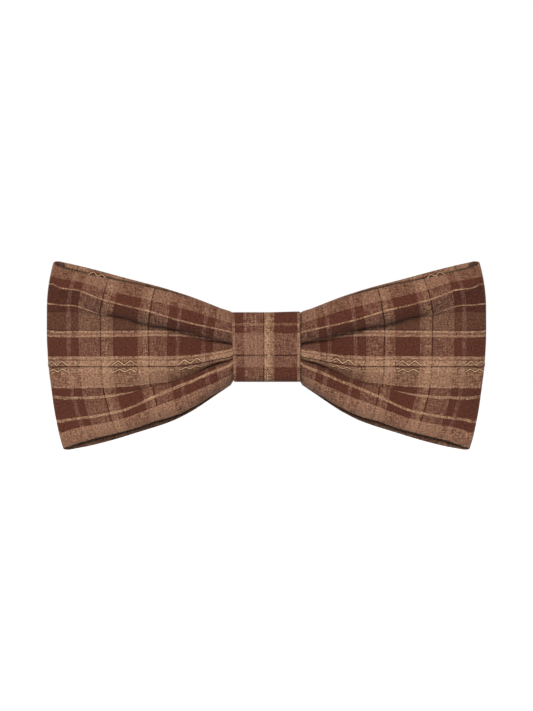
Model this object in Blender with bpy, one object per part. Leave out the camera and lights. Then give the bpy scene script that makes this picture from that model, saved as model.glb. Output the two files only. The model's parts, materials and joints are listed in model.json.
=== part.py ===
"""A ready-tied clip-on bow tie, modelled as the separate pieces that it is sewn and stamped from.

Frame, in metres: X runs along the bow, +Z up as worn, and the face of the bow looks along -Y.
The origin is on the flat back of the knot, at its middle, where the tie bears on the shirt collar.
"""

import math

import bmesh
import bpy
from mathutils import Vector

# The bow: one flat cloth tube, folded into two loops and pinched at the middle.
BOW_HALF_WIDTH = 0.0600        # centre to the furthest point of an outer fold
OUTER_FOLD_HEIGHT = 0.0060     # height of that furthest point above the knot's middle
TOP_CORNER = (0.0573, 0.0234)  # X and Z of the fold's top corner
LOW_CORNER = (0.0543, -0.0282)
STRIP_THICKNESS = 0.0021       # cloth, interlining and cloth again, with the gaps between them
CLOTH = 0.0005
INTERLINING = 0.0005
GAP = 0.0003                   # between pieces that touch
FOLD_RADIUS = 0.0018           # of the loop's turn at the outer edge
LOOP_PLANE = -0.0078           # Y of the outer folds
LOOP_BELLY = 0.0042            # how far the front layer stands off that plane at its fullest
BACK_LAYER_Y = -0.0052
SEWN_EDGE = 0.0012             # the interlining's setback from the strip's long edges

# The pinched waist inside the knot.
WAIST_HALF_LENGTH = 0.0091
WAIST_HALF_HEIGHT = 0.0066
FRONT_BUNCH_Y = -0.0098
FRONT_BUNCH_THICKNESS = 0.0040
BACK_BUNCH_Y = -0.00535
BACK_BUNCH_THICKNESS = 0.0030
FLARE_LENGTH = 0.0032          # from the knot's edge to where the wing has its full height
STRIP_END_GAP = 0.0010         # between the strip's two ends, at the middle of the back

# The knot: a cloth band over its own interlining, closed by a seam low on its back.
KNOT_HALF_WIDTH = 0.0091
KNOT_HALF_HEIGHT = 0.0095
KNOT_DEPTH = 0.0145
KNOT_CORNER = 0.0034
KNOT_CLOTH = 0.0006
KNOT_SEAM_Z = -0.0042
KNOT_SEAM_GAP = 0.0016

# Threads.
BINDING_RADIUS = 0.00028
BINDING_TURNS = 5
BINDING_PITCH = 0.0010
SEAM_THREAD_RADIUS = 0.00014
SEAM_STITCHES = 11
END_STITCHES = 6
END_STITCH_DEPTH = 0.0022

# The collar clip: a stamped plate with a sprung jaw at each end.
PLATE = 0.0008
PLATE_BACK_Y = -0.0017         # the face of the plate that the collar lies on
BAR_HALF_HEIGHT = 0.0035
ARM_HALF_HEIGHT = 0.0042
ARM_REACH = 0.0316
PIVOT_X = 0.0170
PIVOT_Y = 0.0001
LUG_INNER_Z = 0.0043
LUG_OUTER_Z = 0.0050
LUG_RADIUS = 0.0016
JAW_HALF_HEIGHT = 0.0040
CHEEK = 0.0006
JAW_TEETH = 5
JAW_TOOTH = 0.0007
PIN_RADIUS = 0.0007
PIN_CLEARANCE = 0.00008
PIN_HEAD_RADIUS = 0.0011
PIN_HEAD = 0.0004
SPRING_WIRE_RADIUS = 0.00025
SPRING_COIL_RADIUS = 0.00125
SPRING_TURNS = 4.5
SPRING_PITCH = 0.0006
SPRING_LEG = 0.0042

# The jaw's middle line seen from above, from its thumb tab to its teeth, measured from the pivot.
JAW_LINE = [
    (-0.0056, 0.0041), (-0.0042, 0.0034), (-0.0022, 0.0025), (-0.0010, 0.0022), (0.0030, 0.0021),
    (0.0080, 0.0019), (0.0115, 0.0016), (0.0131, 0.0010), (0.0138, -0.0001),
]
JAW_TIP = (0.0141, -0.0008)    # where the teeth start
CHEEK_OUTLINE = [
    (-0.0014, 0.0020), (0.0026, 0.0020), (0.0015, -0.0002), (0.0011, -0.0010),
    (0.0000, -0.0013), (-0.0011, -0.0010), (-0.0015, 0.0000),
]

CLOTH_COLOUR = (0.20, 0.10, 0.065)
LINING_COLOUR = (0.78, 0.76, 0.70)
THREAD_COLOUR = (0.16, 0.08, 0.05)
NICKEL_COLOUR = (0.66, 0.65, 0.62)
SPRING_COLOUR = (0.50, 0.50, 0.50)

ROUND_STEPS = 16


def clear_scene():
    for old in list(bpy.data.objects):
        bpy.data.objects.remove(old, do_unlink=True)


def make_material(name, colour, roughness, metallic=0.0):
    material = bpy.data.materials.new(name)
    material.use_nodes = True
    shader = material.node_tree.nodes["Principled BSDF"]
    shader.inputs["Base Color"].default_value = (*colour, 1.0)
    shader.inputs["Roughness"].default_value = roughness
    shader.inputs["Metallic"].default_value = metallic
    return material


def add_object(name, data, material):
    obj = bpy.data.objects.new(name, data)
    bpy.context.scene.collection.objects.link(obj)
    if material is not None:
        data.materials.append(material)
    return obj


def object_from_bmesh(name, bm, material, smooth_angle=math.radians(35)):
    bmesh.ops.recalc_face_normals(bm, faces=bm.faces)
    mesh = bpy.data.meshes.new(name)
    bm.to_mesh(mesh)
    bm.free()
    mesh.shade_smooth()
    mesh.set_sharp_from_angle(angle=smooth_angle)
    return add_object(name, mesh, material)


def smoothstep(low, high, value):
    share = min(1.0, max(0.0, (value - low) / (high - low)))
    return share * share * (3 - 2 * share)


def arc_points(centre, radius, start, end, steps):
    """Points on an arc in a plane, both ends included."""
    angles = [start + (end - start) * i / steps for i in range(steps + 1)]
    return [(centre[0] + radius * math.cos(a), centre[1] + radius * math.sin(a)) for a in angles]


# ---------------------------------------------------------------- the bow's strip

def fold_edge(height_share):
    """X and Z on a wing's outer fold, from its low corner at 0 to its top corner at 1."""
    z = LOW_CORNER[1] + (TOP_CORNER[1] - LOW_CORNER[1]) * height_share
    if z < OUTER_FOLD_HEIGHT:
        corner = LOW_CORNER
    else:
        corner = TOP_CORNER
    away = (z - OUTER_FOLD_HEIGHT) / (corner[1] - OUTER_FOLD_HEIGHT)
    return BOW_HALF_WIDTH - (BOW_HALF_WIDTH - corner[0]) * away ** 2, z


def layer_depth(reach, front):
    """Y of a layer's middle surface, from the knot's edge at reach 0 to the outer fold at reach 1."""
    if front:
        belly = LOOP_BELLY * math.sin(math.pi * min(1.0, 0.22 + 0.78 * reach) ** 1.1)
        far = LOOP_PLANE - FOLD_RADIUS - belly
        return FRONT_BUNCH_Y + (far - FRONT_BUNCH_Y) * smoothstep(0.0, 0.22, reach)
    far = BACK_LAYER_Y + (LOOP_PLANE + FOLD_RADIUS - BACK_LAYER_Y) * smoothstep(0.3, 1.0, reach)
    return BACK_BUNCH_Y + (far - BACK_BUNCH_Y) * smoothstep(0.0, 0.22, reach)


def strip_stations():
    """One wing of the strip as (reach, fold angle, front) from the middle of the front to that of the back.

    A reach under 0 lies inside the knot; the fold angle runs over the turn at the outer edge.
    """
    outward = [-1.0, -0.04, 0.02, 0.05, 0.09, 0.16, 0.26, 0.38, 0.50, 0.62, 0.74, 0.84, 0.92]
    front = [(reach, 0.0, True) for reach in outward]
    turn = [(1.0, math.pi * i / 6, True) for i in range(7)]
    back = [(reach, 0.0, False) for reach in reversed(outward)]
    return front + turn + back


def strip_point(side, station, height_share, end_gap):
    """A point on the strip's middle surface."""
    reach, turn, front = station
    low_or_high = 2 * height_share - 1
    if reach < 0:
        away = -reach * WAIST_HALF_LENGTH
        x = max(WAIST_HALF_LENGTH - away, end_gap / 2 if not front else 0.0)
        y = FRONT_BUNCH_Y if front else BACK_BUNCH_Y
        return Vector((side * x, y, WAIST_HALF_HEIGHT * low_or_high))
    edge_x, edge_z = fold_edge(height_share)
    edge_x -= FOLD_RADIUS + STRIP_THICKNESS / 2
    x = WAIST_HALF_LENGTH + (edge_x - WAIST_HALF_LENGTH) * reach
    z = KNOT_HALF_HEIGHT * low_or_high * (1 - reach) + edge_z * reach
    flare = smoothstep(WAIST_HALF_LENGTH, WAIST_HALF_LENGTH + FLARE_LENGTH, x)
    z = WAIST_HALF_HEIGHT * low_or_high * (1 - flare) + z * flare
    if reach < 1.0:
        return Vector((side * x, layer_depth(reach, front), z))
    x += FOLD_RADIUS * math.sin(turn)
    return Vector((side * x, LOOP_PLANE - FOLD_RADIUS * math.cos(turn), z))


def bunching(station):
    """How many times thicker than the flat strip the cloth is where it is gathered."""
    reach, _, front = station
    gathered = (FRONT_BUNCH_THICKNESS if front else BACK_BUNCH_THICKNESS) / STRIP_THICKNESS
    return 1 + (gathered - 1) * (1 - smoothstep(0.0, 0.20, reach))


def strip_rings(thickness, inset, end_gap, height_steps=6):
    """Closed rings round the strip, one for each station from one end to the other."""
    wing = strip_stations()
    stations = [(1, s) for s in reversed(wing)] + [(-1, s) for s in wing[1:]]
    shares = [i / (height_steps - 1) for i in range(height_steps)]
    rows = [[strip_point(side, s, share, end_gap) for share in shares] for side, s in stations]
    rings = []
    for i, row in enumerate(rows):
        before, after = rows[max(0, i - 1)], rows[min(len(rows) - 1, i + 1)]
        half = thickness / 2 * bunching(stations[i][1])
        up = (row[-1] - row[0]).normalized()
        one_side, other_side = [], []
        for j, point in enumerate(row):
            along = after[j] - before[j]
            across = row[min(height_steps - 1, j + 1)] - row[max(0, j - 1)]
            normal = along.cross(across).normalized()
            edge = up * inset * (1 if j == 0 else -1 if j == height_steps - 1 else 0)
            one_side.append(point + edge + normal * half)
            other_side.append(point + edge - normal * half)
        rings.append(one_side + other_side[::-1])
    return rings


def add_rings(bm, rings):
    """Skins the rings and returns their vertices."""
    made = [[bm.verts.new(point) for point in ring] for ring in rings]
    for ring, following in zip(made, made[1:]):
        for j in range(len(ring)):
            k = (j + 1) % len(ring)
            bm.faces.new((ring[j], ring[k], following[k], following[j]))
    return made


def cap_ring(bm, ring):
    """Closes a flat ring with a strip of quads from its one side to its other."""
    count = len(ring)
    for j in range(count // 2 - 1):
        bm.faces.new((ring[j], ring[j + 1], ring[count - 2 - j], ring[count - 1 - j]))


def join_rings(bm, outer, inner):
    for j in range(len(outer)):
        k = (j + 1) % len(outer)
        bm.faces.new((outer[j], outer[k], inner[k], inner[j]))


def build_bow_shell(material):
    """The cloth: a flat tube, open at its two ends, which meet behind the waist."""
    bm = bmesh.new()
    outside = add_rings(bm, strip_rings(STRIP_THICKNESS, 0.0, STRIP_END_GAP))
    hollow = STRIP_THICKNESS - 2 * CLOTH
    inside = add_rings(bm, strip_rings(hollow, CLOTH, STRIP_END_GAP))
    join_rings(bm, outside[0], inside[0])
    join_rings(bm, outside[-1], inside[-1])
    return object_from_bmesh("bow_shell", bm, material)


def build_bow_interlining(material):
    bm = bmesh.new()
    rings = add_rings(bm, strip_rings(INTERLINING, SEWN_EDGE, STRIP_END_GAP + 2 * GAP))
    cap_ring(bm, rings[0])
    cap_ring(bm, rings[-1])
    return object_from_bmesh("bow_interlining", bm, material)


# ---------------------------------------------------------------- the knot

def rounded_loop(half_height, front_y, back_y, corner, steps=5):
    """A rounded rectangle in Y and Z, anticlockwise from the middle of its back."""
    turns = [
        ((back_y - corner, half_height - corner), 0.0),
        ((front_y + corner, half_height - corner), math.pi / 2),
        ((front_y + corner, corner - half_height), math.pi),
        ((back_y - corner, corner - half_height), 3 * math.pi / 2),
    ]
    points = []
    for centre, start in turns:
        points += arc_points(centre, corner, start, start + math.pi / 2, steps)
    return points


def band_ring(name, half_width, inset, thickness, material):
    """A band round the waist, open at its seam. Inset is its outer face's distance inside the knot's."""
    outer = rounded_loop(
        KNOT_HALF_HEIGHT - inset, -KNOT_DEPTH + inset, -inset, KNOT_CORNER - inset
    )
    deep = inset + thickness
    inner = rounded_loop(
        KNOT_HALF_HEIGHT - deep, -KNOT_DEPTH + deep, -deep, KNOT_CORNER - deep
    )
    above, below = KNOT_SEAM_Z + KNOT_SEAM_GAP / 2, KNOT_SEAM_Z - KNOT_SEAM_GAP / 2
    outline = [(-inset, above)] + outer + [(-inset, below)]
    outline += [(-deep, below)] + inner[::-1] + [(-deep, above)]
    bm = bmesh.new()
    near = [bm.verts.new((-half_width, y, z)) for y, z in outline]
    far = [bm.verts.new((half_width, y, z)) for y, z in outline]
    count = len(outline)
    for j in range(count):
        k = (j + 1) % count
        bm.faces.new((near[j], near[k], far[k], far[j]))
    for side in (near, far):
        for j in range(count // 2 - 1):
            bm.faces.new((side[j], side[j + 1], side[count - 2 - j], side[count - 1 - j]))
    return object_from_bmesh(name, bm, material)


def build_knot(cloth, lining):
    band_ring("knot_band", KNOT_HALF_WIDTH, 0.0, KNOT_CLOTH, cloth)
    band_ring("knot_interlining", KNOT_HALF_WIDTH - CLOTH, KNOT_CLOTH + GAP, INTERLINING, lining)


# ---------------------------------------------------------------- threads and wires

def tube(name, points, radius, material, resolution=2):
    """A round wire or thread through the points, with closed ends."""
    curve = bpy.data.curves.new(name, "CURVE")
    curve.dimensions = "3D"
    curve.bevel_depth = radius
    curve.bevel_resolution = resolution
    curve.use_fill_caps = True
    spline = curve.splines.new("POLY")
    spline.points.add(len(points) - 1)
    for target, point in zip(spline.points, points):
        target.co = (*point, 1.0)
    return add_object(name, curve, material)


def build_waist_binding(material):
    """Thread wound round the pinched waist, which holds the gathers under the knot."""
    stand_off = GAP + BINDING_RADIUS
    front = FRONT_BUNCH_Y - FRONT_BUNCH_THICKNESS / 2 - stand_off
    back = BACK_BUNCH_Y + BACK_BUNCH_THICKNESS / 2 + stand_off
    loop = rounded_loop(WAIST_HALF_HEIGHT + stand_off, front, back, 0.0008, steps=2)
    steps = len(loop)
    length = BINDING_TURNS * BINDING_PITCH
    points = []
    for i in range(BINDING_TURNS * steps):
        y, z = loop[i % steps]
        points.append((-length / 2 + BINDING_PITCH * i / steps, y, z))
    tube("waist_binding", points, BINDING_RADIUS, material, resolution=1)


def build_knot_seam_thread(material):
    """The slip stitches that close the knot: one thread that spirals along the seam."""
    reach = KNOT_HALF_WIDTH - 0.0010
    radius = KNOT_CLOTH / 2 - SEAM_THREAD_RADIUS / 2
    steps_a_stitch = 8
    total = SEAM_STITCHES * steps_a_stitch
    points = []
    for i in range(total + 1):
        angle = 2 * math.pi * i / steps_a_stitch
        y = -KNOT_CLOTH / 2 + radius * math.cos(angle) - SEAM_THREAD_RADIUS / 2
        z = KNOT_SEAM_Z + 0.00035 * math.sin(angle)
        points.append((-reach + 2 * reach * i / total, y, z))
    tube("knot_seam_thread", points, SEAM_THREAD_RADIUS, material, resolution=1)


def build_bow_end_stitches(material):
    """The stitches between the strip's two ends, behind the waist: one thread in flat waves."""
    steps_a_stitch = 8
    total = END_STITCHES * steps_a_stitch
    reach = WAIST_HALF_HEIGHT - GAP
    points = []
    for i in range(total + 1):
        angle = 2 * math.pi * i / steps_a_stitch
        y = BACK_BUNCH_Y + END_STITCH_DEPTH / 2 * math.cos(angle)
        points.append((0.0, y, -reach + 2 * reach * i / total))
    tube("bow_end_stitches", points, SEAM_THREAD_RADIUS, material, resolution=1)


# ---------------------------------------------------------------- the collar clip

def slab(bm, outline, low, high, place):
    """Extrudes a flat outline from low to high; place turns (a, b, height) into a point."""
    bottom = [bm.verts.new(place(a, b, low)) for a, b in outline]
    top = [bm.verts.new(place(a, b, high)) for a, b in outline]
    bm.faces.new(bottom)
    bm.faces.new(top[::-1])
    for j in range(len(outline)):
        k = (j + 1) % len(outline)
        bm.faces.new((bottom[j], top[j], top[k], bottom[k]))


def helper(name, outline, low, high, place):
    """A slab that a Boolean adds or cuts, left out of the object itself."""
    bm = bmesh.new()
    slab(bm, outline, low, high, place)
    obj = object_from_bmesh(name, bm, None)
    obj.hide_render = True
    obj.display_type = "WIRE"
    return obj


def combine(target, other, operation):
    modifier = target.modifiers.new(other.name, "BOOLEAN")
    modifier.operation = operation
    modifier.solver = "EXACT"
    modifier.object = other


def soften(target, width=0.00012, segments=1):
    modifier = target.modifiers.new("edge_break", "BEVEL")
    modifier.width = width
    modifier.segments = segments
    modifier.limit_method = "ANGLE"
    modifier.angle_limit = math.radians(50)


def facing_y(x, z, y):
    return (x, y, z)


def from_pivot(side):
    """Places an outline measured from one hinge's pivot, seen from above."""
    return lambda x, y, z: (side * (PIVOT_X + x), PIVOT_Y + y, z)


def plate_outline():
    """Half of the base plate's outline in X and Z is worked out, and the other half mirrors it."""
    wide = LUG_OUTER_Z
    lug_from, lug_to = PIVOT_X - LUG_RADIUS, PIVOT_X + LUG_RADIUS
    tip = ARM_REACH - 0.0020
    quarter = [
        (lug_from - 0.0022, BAR_HALF_HEIGHT), (lug_from, wide), (lug_to, wide),
        (lug_to + 0.0010, ARM_HALF_HEIGHT),
    ]
    quarter += arc_points((tip, ARM_HALF_HEIGHT - 0.0020), 0.0020, math.pi / 2, 0.0, 4)
    right = quarter + [(x, -z) for x, z in reversed(quarter)]
    return right + [(-x, -z) for x, z in right]


def build_clip_base(material):
    """The stamped plate, its four hinge lugs and their pin holes."""
    bm = bmesh.new()
    slab(bm, plate_outline(), PLATE_BACK_Y - PLATE, PLATE_BACK_Y, facing_y)
    base = object_from_bmesh("clip_base", bm, material)
    foot = PLATE_BACK_Y - PLATE / 2 - PIVOT_Y
    lug = [(-LUG_RADIUS, foot)] + arc_points((0, 0), LUG_RADIUS, math.pi, 0.0, 8) + [(LUG_RADIUS, foot)]
    hole = arc_points((0, 0), PIN_RADIUS + PIN_CLEARANCE, 0.0, 2 * math.pi, ROUND_STEPS)[:-1]
    for side, word in ((1, "right"), (-1, "left")):
        place = from_pivot(side)
        for up, end in ((1, "top"), (-1, "low")):
            ends = sorted((up * LUG_INNER_Z, up * LUG_OUTER_Z))
            combine(base, helper(f"lug_{word}_{end}", lug, *ends, place), "UNION")
        reach = 2 * LUG_OUTER_Z
        combine(base, helper(f"base_pin_hole_{word}", hole, -reach, reach, place), "DIFFERENCE")
    return base


def thick_line(line, thickness):
    """The outline of a strip of sheet metal whose middle follows the line."""
    left, right = [], []
    for i, (x, y) in enumerate(line):
        before, after = line[max(0, i - 1)], line[min(len(line) - 1, i + 1)]
        along = Vector((after[0] - before[0], after[1] - before[1])).normalized()
        across = Vector((-along.y, along.x)) * thickness / 2
        left.append((x + across.x, y + across.y))
        right.append((x - across.x, y - across.y))
    return left + right[::-1]


def tooth_outline():
    """The serrated tip in Z and Y, measured from the pivot's height."""
    top, root = JAW_TIP[1] + 0.0010, JAW_TIP[1]
    pitch = 2 * JAW_HALF_HEIGHT / JAW_TEETH
    points = [(JAW_HALF_HEIGHT, top), (-JAW_HALF_HEIGHT, top), (-JAW_HALF_HEIGHT, root)]
    for i in range(JAW_TEETH):
        start = -JAW_HALF_HEIGHT + i * pitch
        points += [(start + pitch / 2, root - JAW_TOOTH), (start + pitch, root)]
    return points


def build_jaw(side, word, material):
    """A stamped lever: thumb tab, two cheeks round the pin, gripping arm and teeth."""
    place = from_pivot(side)
    bm = bmesh.new()
    slab(bm, thick_line(JAW_LINE, PLATE), -JAW_HALF_HEIGHT, JAW_HALF_HEIGHT, place)
    jaw = object_from_bmesh(f"clip_jaw_{word}", bm, material)
    for up, end in ((1, "top"), (-1, "low")):
        ends = sorted((up * (JAW_HALF_HEIGHT - CHEEK), up * JAW_HALF_HEIGHT))
        cheek = helper(f"cheek_{word}_{end}", CHEEK_OUTLINE, *ends, place)
        combine(jaw, cheek, "UNION")
    tip_x = JAW_TIP[0]
    across = lambda z, y, x: (side * (PIVOT_X + x), PIVOT_Y + y, z)
    teeth = helper(f"teeth_{word}", tooth_outline(), tip_x - PLATE * 0.75, tip_x + PLATE * 0.25, across)
    combine(jaw, teeth, "UNION")
    hole = arc_points((0, 0), PIN_RADIUS + PIN_CLEARANCE, 0.0, 2 * math.pi, ROUND_STEPS)[:-1]
    reach = 2 * JAW_HALF_HEIGHT
    combine(jaw, helper(f"jaw_pin_hole_{word}", hole, -reach, reach, place), "DIFFERENCE")
    return jaw


def build_hinge_pin(side, word, material):
    """A headed pin, turned from its half profile and standing on the hinge's axis."""
    shank_end = LUG_OUTER_Z + GAP / 2
    end = shank_end + PIN_HEAD
    profile = [
        (0.0, -end), (PIN_HEAD_RADIUS * 0.7, -end), (PIN_HEAD_RADIUS, -end + PIN_HEAD / 2),
        (PIN_HEAD_RADIUS, -shank_end), (PIN_RADIUS, -shank_end),
    ]
    profile += [(radius, -z) for radius, z in reversed(profile)]
    bm = bmesh.new()
    verts = [bm.verts.new((radius, 0.0, z)) for radius, z in profile]
    edges = [bm.edges.new(pair) for pair in zip(verts, verts[1:])]
    bmesh.ops.spin(
        bm, geom=verts + edges, cent=(0, 0, 0), axis=(0, 0, 1), angle=2 * math.pi,
        steps=ROUND_STEPS, use_merge=True, use_duplicate=False,
    )
    bmesh.ops.remove_doubles(bm, verts=bm.verts, dist=1e-6)
    pin = object_from_bmesh(f"hinge_pin_{word}", bm, material)
    pin.location = (side * PIVOT_X, PIVOT_Y, 0.0)
    return pin


def build_spring(side, word, material):
    """A torsion spring round the pin: one leg lies on the plate, the other lifts the thumb tab."""
    radius = SPRING_COIL_RADIUS
    place = from_pivot(side)
    half = SPRING_TURNS * SPRING_PITCH / 2
    plate_leg = [(-SPRING_LEG, -radius, -half), (-SPRING_LEG / 2, -radius, -half)]
    steps = int(SPRING_TURNS * ROUND_STEPS)
    coil = []
    for i in range(steps + 1):
        angle = -math.pi / 2 + 2 * math.pi * i / ROUND_STEPS
        height = -half + SPRING_PITCH * i / ROUND_STEPS
        coil.append((radius * math.cos(angle), radius * math.sin(angle), height))
    jaw_leg = [(-0.0010, 0.00130, half), (-0.0022, 0.00152, half), (-0.0040, 0.00232, half)]
    points = [place(*point) for point in plate_leg + coil + jaw_leg]
    tube(f"jaw_spring_{word}", points, SPRING_WIRE_RADIUS, material, resolution=1)


def build_clip(nickel, steel):
    build_clip_base(nickel)
    for side, word in ((1, "right"), (-1, "left")):
        build_jaw(side, word, nickel)
        build_hinge_pin(side, word, nickel)
        build_spring(side, word, steel)


def main():
    clear_scene()
    cloth = make_material("plaid_cloth", CLOTH_COLOUR, 0.9)
    lining = make_material("interlining", LINING_COLOUR, 0.95)
    thread = make_material("thread", THREAD_COLOUR, 0.8)
    nickel = make_material("nickel_steel", NICKEL_COLOUR, 0.28, 1.0)
    steel = make_material("spring_steel", SPRING_COLOUR, 0.35, 1.0)
    build_bow_shell(cloth)
    build_bow_interlining(lining)
    build_knot(cloth, lining)
    build_waist_binding(thread)
    build_bow_end_stitches(thread)
    build_knot_seam_thread(thread)
    build_clip(nickel, steel)


main()
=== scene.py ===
"""The finished look of a ready-tied plaid bow tie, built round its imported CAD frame.

Sizes are in metres in the frame's own axes: X along the bow, +Z up, and the bow faces -Y.
"""

import json
import math

import bpy
import numpy as np
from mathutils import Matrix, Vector

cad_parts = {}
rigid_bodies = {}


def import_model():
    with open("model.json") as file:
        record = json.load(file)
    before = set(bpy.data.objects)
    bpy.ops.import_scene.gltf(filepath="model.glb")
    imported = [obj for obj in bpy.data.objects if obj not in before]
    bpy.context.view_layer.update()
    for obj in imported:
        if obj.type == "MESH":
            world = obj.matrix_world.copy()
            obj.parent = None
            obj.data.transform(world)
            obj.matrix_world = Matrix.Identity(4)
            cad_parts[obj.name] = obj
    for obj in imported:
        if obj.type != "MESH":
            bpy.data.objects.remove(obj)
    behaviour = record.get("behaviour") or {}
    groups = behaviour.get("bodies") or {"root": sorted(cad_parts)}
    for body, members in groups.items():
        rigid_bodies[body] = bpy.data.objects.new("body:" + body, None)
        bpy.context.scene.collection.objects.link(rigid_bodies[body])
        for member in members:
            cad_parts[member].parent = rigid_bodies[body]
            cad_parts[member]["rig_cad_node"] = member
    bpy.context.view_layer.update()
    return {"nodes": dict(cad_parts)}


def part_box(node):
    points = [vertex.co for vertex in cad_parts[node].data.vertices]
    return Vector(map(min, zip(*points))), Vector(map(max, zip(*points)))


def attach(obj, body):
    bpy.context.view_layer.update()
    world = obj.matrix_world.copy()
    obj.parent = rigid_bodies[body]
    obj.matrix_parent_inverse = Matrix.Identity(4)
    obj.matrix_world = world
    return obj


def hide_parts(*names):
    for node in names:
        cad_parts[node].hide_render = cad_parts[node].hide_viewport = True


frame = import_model()

MM = 0.001
KNOT_LOW, KNOT_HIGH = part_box("knot_band")

# The bow's strip, flat: its height, and its length along each part of one loop.
STRIP_HEIGHT = 51.8 * MM
PINCH_X = 9.5 * MM
END_X = 0.5 * MM
LAYER_LENGTH = 50.3 * MM
FOLD_LENGTH = 4.2 * MM
ROW_COUNT = 81
LAYER_STEPS = 76
TUCK_STEPS = 14
FOLD_STEPS = 10

# A pressed tube of shirting with a felted interlining in it.
STRIP_HALF = 0.42 * MM
PINCHED_HALF = 0.28 * MM
FOLD_HALF = 0.27 * MM
CLOTH_WALL = 0.20 * MM
FOLDED_EDGE = 0.26 * MM
LINING_HALF = 0.15 * MM
# The tube's inner skin turns its edges this much more tightly than the outer one.
INNER_EDGE_SHARE = 0.4
# Where the tube swells out of the knot to its full thickness, and where it thins towards the fold.
SWELLS_AT = (7.5 * MM, 10.5 * MM)
THINS_AT = (52 * MM, 57 * MM)
# Points round each edge of a strip.
EDGE_POINTS = 3

# Sections across the right wing's front layer, each at a share of the way from knot to fold. A point
# is its share down the strip, its height above the knot's middle, and how far it stands forward of
# the layer's plane, in millimetres. Two pleats fold under, and they fade before the outer fold.
FRONT_SECTIONS = {
    0.00: [
        (0.000, 9.3, 0.8), (0.030, 8.4, 2.5), (0.062, 6.3, 3.9), (0.118, 4.0, 4.5), (0.160, 2.4, 4.5),
        (0.195, 1.3, 3.8), (0.290, 4.2, 1.4), (0.385, 1.1, 0.2), (0.440, 0.6, 1.7), (0.500, -0.9, 4.1),
        (0.540, -2.1, 4.6), (0.580, -3.0, 3.9), (0.680, -1.4, -1.2), (0.775, -3.5, 1.4),
        (0.815, -4.2, 3.7), (0.855, -5.6, 4.5), (0.900, -7.5, 4.0), (0.950, -8.9, 2.6),
        (1.000, -9.8, 0.6),
    ],
    0.30: [
        (0.000, 14.0, 0.6), (0.060, 10.8, 2.9), (0.118, 7.3, 3.9), (0.150, 5.9, 3.7), (0.175, 5.0, 3.0),
        (0.260, 7.3, 1.4), (0.342, 5.0, 0.0), (0.387, 3.1, -0.3), (0.450, -0.2, 0.3), (0.500, -2.6, 1.6),
        (0.545, -4.7, 2.1), (0.590, -6.5, 1.3), (0.640, -8.2, -0.1), (0.700, -8.9, -1.4),
        (0.768, -8.9, -1.5), (0.800, -9.3, 0.3), (0.840, -10.8, 2.6), (0.890, -13.4, 3.1),
        (0.940, -15.6, 2.4), (1.000, -17.5, 1.0),
    ],
    0.47: [
        (0.000, 16.0, 0.4), (0.060, 12.8, 2.5), (0.118, 9.7, 3.8), (0.158, 7.8, 3.9), (0.188, 6.7, 3.0),
        (0.248, 8.5, 1.4), (0.312, 6.4, 0.4), (0.350, 4.8, 0.2), (0.387, 3.1, 0.3), (0.500, -2.6, 1.3),
        (0.556, -5.4, 2.1), (0.612, -8.0, 1.8), (0.658, -9.7, 1.1), (0.695, -10.7, 0.4),
        (0.724, -10.6, 0.0), (0.752, -11.0, 0.1), (0.790, -12.3, 1.0), (0.840, -14.1, 2.2),
        (0.890, -16.3, 2.5), (0.945, -18.4, 1.8), (1.000, -20.1, 0.7),
    ],
    0.62: [
        (0.000, 17.5, 0.2), (0.060, 14.4, 2.0), (0.118, 11.5, 3.0), (0.165, 9.6, 3.1), (0.205, 8.6, 2.2),
        (0.233, 8.9, 1.1), (0.266, 8.0, 0.3), (0.346, 4.9, 0.0), (0.430, 0.7, 0.3), (0.500, -2.6, 0.8),
        (0.556, -5.5, 1.4), (0.615, -8.5, 1.3), (0.660, -10.6, 0.9), (0.703, -12.5, 0.5),
        (0.745, -13.7, 0.4), (0.790, -15.1, 0.9), (0.840, -17.1, 1.6), (0.890, -19.0, 1.6),
        (0.945, -20.9, 1.1), (1.000, -22.3, 0.3),
    ],
    0.75: [
        (0.000, 18.9, 0.0), (0.060, 16.2, 1.2), (0.118, 13.4, 1.9), (0.170, 11.0, 1.7), (0.217, 9.6, 1.0),
        (0.261, 8.9, 0.3), (0.346, 4.9, 0.0), (0.500, -2.6, 0.4), (0.655, -10.6, 0.8),
        (0.710, -13.6, 0.3), (0.840, -18.5, 1.1), (0.890, -20.5, 1.1), (0.945, -22.4, 0.7),
        (1.000, -23.8, 0.1),
    ],
    0.86: [
        (0.000, 20.0, -0.2), (0.060, 17.8, 0.8), (0.118, 15.5, 1.2), (0.170, 13.2, 0.5),
        (0.217, 11.3, 0.4), (0.261, 9.6, 0.1), (0.346, 4.9, 0.0), (0.500, -2.6, 0.2),
        (0.655, -10.7, 0.4), (0.710, -13.8, 0.1), (0.840, -19.3, 0.6), (0.890, -21.3, 0.6),
        (0.945, -23.5, 0.2), (1.000, -25.1, -0.4),
    ],
    0.96: [
        (0.000, 21.1, -0.4), (0.060, 18.7, 0.3), (0.118, 16.2, 0.7), (0.170, 13.6, 0.1),
        (0.217, 11.6, 0.1), (0.261, 9.6, 0.0), (0.346, 4.9, 0.0), (0.500, -2.6, 0.0),
        (0.655, -10.7, 0.1), (0.710, -13.9, 0.0), (0.840, -19.9, 0.1), (0.890, -22.4, 0.1),
        (0.945, -24.8, 0.0), (1.000, -26.4, -0.4),
    ],
    1.00: [
        (0.000, 21.9, -0.4), (0.060, 19.2, 0.0), (0.118, 17.2, 0.0), (0.217, 11.9, 0.0),
        (0.346, 5.0, 0.0), (0.500, -2.6, 0.0), (0.655, -10.8, 0.0), (0.840, -20.4, 0.0),
        (0.890, -23.1, 0.0), (0.945, -25.5, 0.0), (1.000, -27.1, -0.3),
    ],
}
FRONT_PLANES = {0.00: -8.0, 0.30: -8.8, 0.62: -9.8, 0.86: -10.2, 0.96: -9.7, 1.00: -9.0}

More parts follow.
